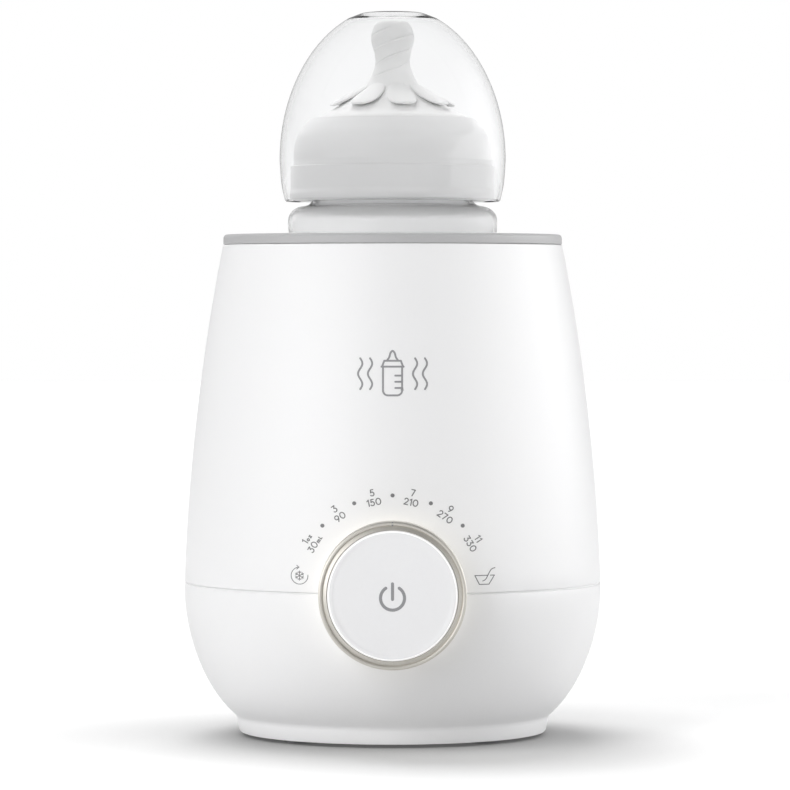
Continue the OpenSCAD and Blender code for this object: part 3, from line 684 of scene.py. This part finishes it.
def make_bottle():
    low, top, wall = bottle_low.z, bottle_high.z, BOTTLE_WALL
    curve = bottle_outside()
    inside = [(r - wall, z - wall * max(0, min(1, (z - 172) / 6))) for r, z in curve]
    foot = arc(28.5, low + 4.7, 4.7, 4.7, -90, -8, 10)
    inner_foot = arc(28.5, low + 4.9, 4.7 - wall, 4.7 - wall, -90, -8, 10)
    thread = []
    thread_z, pitch, bead_r = 184, 3, 0.9
    for k in range(3):
        thread += arc(NECK_R, thread_z + pitch * k + bead_r, bead_r, bead_r, -90, 90, 8)
    outline = ([(0, low + 1.2), (23.5, low + 1.2), (24.6, low + 0.8), (26, low)] + foot + curve + thread
               + [(NECK_R, top - 0.5), (NECK_R - 0.2, top - 0.1), (NECK_R - 0.6, top),
                  (NECK_R - wall + 0.3, top), (NECK_R - wall, top - 0.3)]
               + inside[::-1] + inner_foot[::-1] + [(26, low + 2), (24, low + 3), (0, low + 3)])
    turned("bottle", outline, clear_bottle, "bottle", ["bottle_shell"]).visible_shadow = False


def make_collar():
    """A band with a bead at its foot, a step above it, and a rounded crown that holds the teat."""
    bead = 0.3
    low, top, r = collar_low.z, collar_high.z, collar_high.x - bead
    step, bore_r, hole_r, shelf = 192, 29.4, 26.4, 198.6
    dome = smooth([(r - 1, step + 1.2), (r - 1.1, 197), (r - 2.2, 202), (r - 4.6, 205.8),
                   (hole_r + 1.6, top - 0.2)], 6)
    rim = rounded([
        (bore_r, low, 0.4), (r, low, 0.5), (r + bead, low + 1.5, 0.4), (r + bead, low + 2.3, 0.4),
        (r, low + 3.6, 0.5), (r, step, 0.35), (r - 0.85, step + 0.05, 0.2)])
    mouth = rounded([(hole_r, top - 0.2, 0.5), (hole_r, shelf, 0), (bore_r, shelf, 0)])
    turned("collar", rim + dome + mouth, collar_white, "collar", ["screw_collar"])


PETALS = 8
PETAL_TURN = math.radians(-79)  # one petal's direction, seen from above


def make_petals():
    """The teat's soft ribs: broad tongues that grow out of its cone and overhang its shoulder."""
    top, tip = Vector((7.6, 220.6)), Vector((20.3, 211.1))
    along = (tip - top).normalized()
    out = Vector((-along.y, along.x))
    reach = (tip - top).length
    rows, cols = 22, 28
    verts, faces = [], []
    for petal in range(PETALS):
        middle = PETAL_TURN + 2 * math.pi * petal / PETALS
        start = len(verts)
        for i in range(rows + 1):
            polar = math.pi * i / rows
            share = (1 - math.cos(polar)) / 2
            end = math.sin(polar)
            half_width = (3.6 + 2.3 * share) * end**0.6
            half_height = (0.8 + 0.35 * share) * end**0.7
            lift = 2.1 * share**2 - 0.5
            for j in range(cols):
                b = 2 * math.pi * j / cols
                spot = top + along * reach * share + out * (lift + half_height * math.sin(b))
                a = middle + half_width * math.cos(b) / spot.x
                verts.append(upright(spot.x * math.cos(a), spot.x * math.sin(a), spot.y))
        for i in range(rows):
            for j in range(cols):
                n = (j + 1) % cols
                ring = start + i * cols
                faces.append((ring + j, ring + n, ring + cols + n, ring + cols + j))
    add_object("teat_petals", verts, faces, silicone, "teat", sharp=80)


def spiral_depth(r, z, angle):
    """Three fine grooves that wind up the teat's tip."""
    low, high, lead, widest = 221.5, 239, 14.4, 9
    depth, half_width, fade_over = 0.35, 0.08, 1.5
    if not low < z < high or r > widest:
        return 0
    place = ((z - lead * angle / (2 * math.pi)) / (lead / 3)) % 1
    fade = min(1, (z - low) / fade_over, (high - z) / fade_over)
    return -depth * fade * max(0, 1 - abs(place - 0.5) / half_width)


def make_teat():
    """A flange under the collar, a shoulder, and a tip with a waist."""
    low, top = teat_low.z, teat_high.z
    r, wide = 26.0, teat_high.x
    curve = smooth([(r, 206), (24.8, 208.6), (20.2, 211.1), (13.2, 215.9), (9.4, 219.1), (7.3, 222.4),
                    (5.9, 226.7), (6.3, 230.5), (7.3, 235.5), (5.7, 240.1), (2.6, 241.5), (0, top)], 16)
    inner = [(x - 1.3, z - 0.7) for x, z in curve if x > 1.8]
    outline = ([(r - 1.3, low), (wide, low), (wide, low + 2.3), (r, low + 2.3)] + curve + [(0, top - 1.4)]
               + inner[::-1])

    def grooved(x, z, angle):
        outside = any(abs(x - cx) < 0.01 and abs(z - cz) < 0.01 for cx, cz in curve)
        return (x + spiral_depth(x, z, angle), z) if outside else (x, z)

    turned("teat_body", outline, silicone, "teat", ["teat"], segments=256, shift=grooved)
    make_petals()


def make_dome():
    """The cap: upright sides, an elliptical crown and a small flat on top."""
    low, top, r = dome_low.z, dome_high.z, dome_high.x
    widest, rise = 194, 52

    def skin(inset):
        lower = smooth([(r - 1.9 - inset, low), (r - 0.6 - inset, low + 6), (r - inset, widest)], 10)
        crown = arc(0, widest, r - inset, rise - inset, 0, 67, 40)
        end = crown[-1]
        flat = top - inset
        return lower + crown[1:] + smooth([end, (11 - inset / 2, flat - 0.5), (8.8 - inset / 2, flat - 0.05),
                                           (6, flat), (0, flat)], 4)[1:]

    outside, inside = skin(0), skin(CAP_WALL)
    lip = [(inside[0][0] + 0.3, low), (outside[0][0] - 0.3, low)]
    inside[0] = (inside[0][0], low + 0.3)
    outside[0] = (outside[0][0], low + 0.3)
    turned("dome", lip + outside + inside[::-1], clear_cap, "cap", ["dome_cap"]).visible_shadow = False


# Studio


FLOOR_SIDE = 6.0  # from its middle to an edge, in metres
FLOOR_BOUNCE = 0.6
FLOOR_GLOW = 0.1
CONTACT_REACH = 0.08  # how far the contact shadow painted into the floor's colour reaches, in metres
CONTACT_DEPTH = 0.9  # a power of that shade: below 1 is lighter
BEHIND_GLASS = 0.45  # the share of the soft lights that reaches what stands behind glass
LOBES = (  # azimuth from the camera towards the right, elevation, narrowness and strength of each soft light
    (-32, 5, 12, 2.6),
    (-62, 8, 10, 2.35),
    (72, 8, 10, 3.1),
    (108, 10, 10, 3.85),
    (180, 15, 4, 0.5),
)
KEY = 1.0
FILL = 2.4
CAMERA_PLACE = (0.0008, AXIS_Y * MM - 1.54, 0.1496)
CAMERA_TILT = 1.3  # degrees down


def make_floor():
    """A white floor whose colour is darkened where something stands on it, a painted contact shadow, and
    whose bounce onto the object is dimmer than its looks.
    """
    side = FLOOR_SIDE
    corners = [(-side, -side, 0), (side, -side, 0), (side, side, 0), (-side, side, 0)]
    mesh = bpy.data.meshes.new("floor")
    mesh.from_pydata(corners, [], [(0, 1, 2, 3)])
    floor = bpy.data.objects.new("floor", mesh)
    scene.collection.objects.link(floor)
    seen = procedural("floor_white", (0.86, 0.86, 0.86), 0.6, scale=3, tint=0.005,
                      Emission_Color=(1, 1, 1, 1), Emission_Strength=FLOOR_GLOW, Specular_IOR_Level=0.1)
    nodes, links = seen.node_tree.nodes, seen.node_tree.links
    shader = nodes["Principled BSDF"]
    # painted contact shadow: the floor's colour darkens where something stands near it
    painted_contact_shade = nodes.new("ShaderNodeAmbientOcclusion")
    painted_contact_shade.inputs["Distance"].default_value = CONTACT_REACH
    links.new(shader.inputs["Base Color"].links[0].from_socket, painted_contact_shade.inputs["Color"])
    deeper = nodes.new("ShaderNodeGamma")
    deeper.inputs["Gamma"].default_value = CONTACT_DEPTH
    links.new(painted_contact_shade.outputs["Color"], deeper.inputs["Color"])
    links.new(deeper.outputs["Color"], shader.inputs["Base Color"])
    bounce = nodes.new("ShaderNodeBsdfDiffuse")
    bounce.inputs["Color"].default_value = (FLOOR_BOUNCE, FLOOR_BOUNCE, FLOOR_BOUNCE, 1)
    path = nodes.new("ShaderNodeLightPath")
    mix = nodes.new("ShaderNodeMixShader")
    links.new(path.outputs["Is Camera Ray"], mix.inputs["Fac"])
    links.new(bounce.outputs["BSDF"], mix.inputs[1])
    links.new(shader.outputs["BSDF"], mix.inputs[2])
    links.new(mix.outputs["Shader"], nodes["Material Output"].inputs["Surface"])
    mesh.materials.append(seen)


def make_world():
    """Soft light from a few sides of a white studio; the backdrop shows plain white, also through glass.

    What stands behind glass is lit by rays that pass it straight, so rays that reach the world from there
    by refraction add only a share.
    """
    world = bpy.data.worlds.new("studio")
    scene.world = world
    world.use_nodes = True
    nodes, links = world.node_tree.nodes, world.node_tree.links

    def calculate(operation, *values):
        node = nodes.new("ShaderNodeMath")
        node.operation = operation
        for socket, value in zip(node.inputs, values):
            if isinstance(value, (int, float)):
                socket.default_value = value
            else:
                links.new(value, socket)
        return node.outputs["Value"]

    coords = nodes.new("ShaderNodeTexCoord")
    total = 0
    for azimuth, elevation, narrowness, strength in LOBES:
        a, e = math.radians(azimuth), math.radians(elevation)
        dot = nodes.new("ShaderNodeVectorMath")
        dot.operation = "DOT_PRODUCT"
        dot.inputs[1].default_value = (math.sin(a) * math.cos(e), -math.cos(a) * math.cos(e), math.sin(e))
        links.new(coords.outputs["Generated"], dot.inputs[0])
        facing = calculate("MAXIMUM", dot.outputs["Value"], 0)
        total = calculate("MULTIPLY_ADD", calculate("POWER", facing, narrowness), strength, total)
    shade = nodes["Background"]
    shade.inputs["Color"].default_value = (1, 1, 1, 1)
    backdrop = nodes.new("ShaderNodeBackground")
    backdrop.inputs["Color"].default_value = (1, 1, 1, 1)
    path = nodes.new("ShaderNodeLightPath")
    through = path.outputs["Is Transmission Ray"]
    straight = calculate("LESS_THAN", path.outputs["Diffuse Depth"], 0.5)
    seen = calculate("MAXIMUM", path.outputs["Is Camera Ray"], calculate("MULTIPLY", through, straight))
    behind = calculate("MULTIPLY", through, calculate("SUBTRACT", 1, straight))
    lights = calculate("SUBTRACT", 1, calculate("MULTIPLY", behind, 1 - BEHIND_GLASS))
    links.new(calculate("MULTIPLY", total, lights), shade.inputs["Strength"])
    mix = nodes.new("ShaderNodeMixShader")
    links.new(seen, mix.inputs["Fac"])
    links.new(shade.outputs["Background"], mix.inputs[1])
    links.new(backdrop.outputs["Background"], mix.inputs[2])
    links.new(mix.outputs["Shader"], nodes["World Output"].inputs["Surface"])


def add_sun(name, azimuth, elevation, softness, strength):
    """A far lamp at an azimuth, from the camera towards the right, and an elevation.

    It leaves no bright spot on glossy or clear pieces.
    """
    data = bpy.data.lights.new(name, "SUN")
    data.angle = math.radians(softness)
    data.energy = strength
    lamp = bpy.data.objects.new(name, data)
    lamp.rotation_euler = (math.radians(90 - elevation), 0, math.radians(azimuth))
    lamp.visible_glossy = False
    lamp.visible_transmission = False
    scene.collection.objects.link(lamp)


def make_lights():
    add_sun("key_left", -42, 38, 25, KEY)
    add_sun("top_rear", -158, 57, 40, FILL)


def make_camera():
    data = bpy.data.cameras.new("camera")
    data.lens = 207.4
    data.sensor_width = 36
    data.clip_end = 50
    camera = bpy.data.objects.new("camera", data)
    camera.location = CAMERA_PLACE
    camera.rotation_euler = (math.radians(90 - CAMERA_TILT), 0, 0)
    scene.collection.objects.link(camera)
    scene.camera = camera
    scene.view_settings.view_transform = "Standard"


make_camera()
make_world()
make_lights()
make_floor()
dress_cad()
make_trim()
make_feet()
make_gland()
make_bezel()
make_light_ring()
make_button()
make_spring()
make_scale()
make_icons()
make_pictogram()
make_bottle()
make_collar()
make_teat()
make_dome()
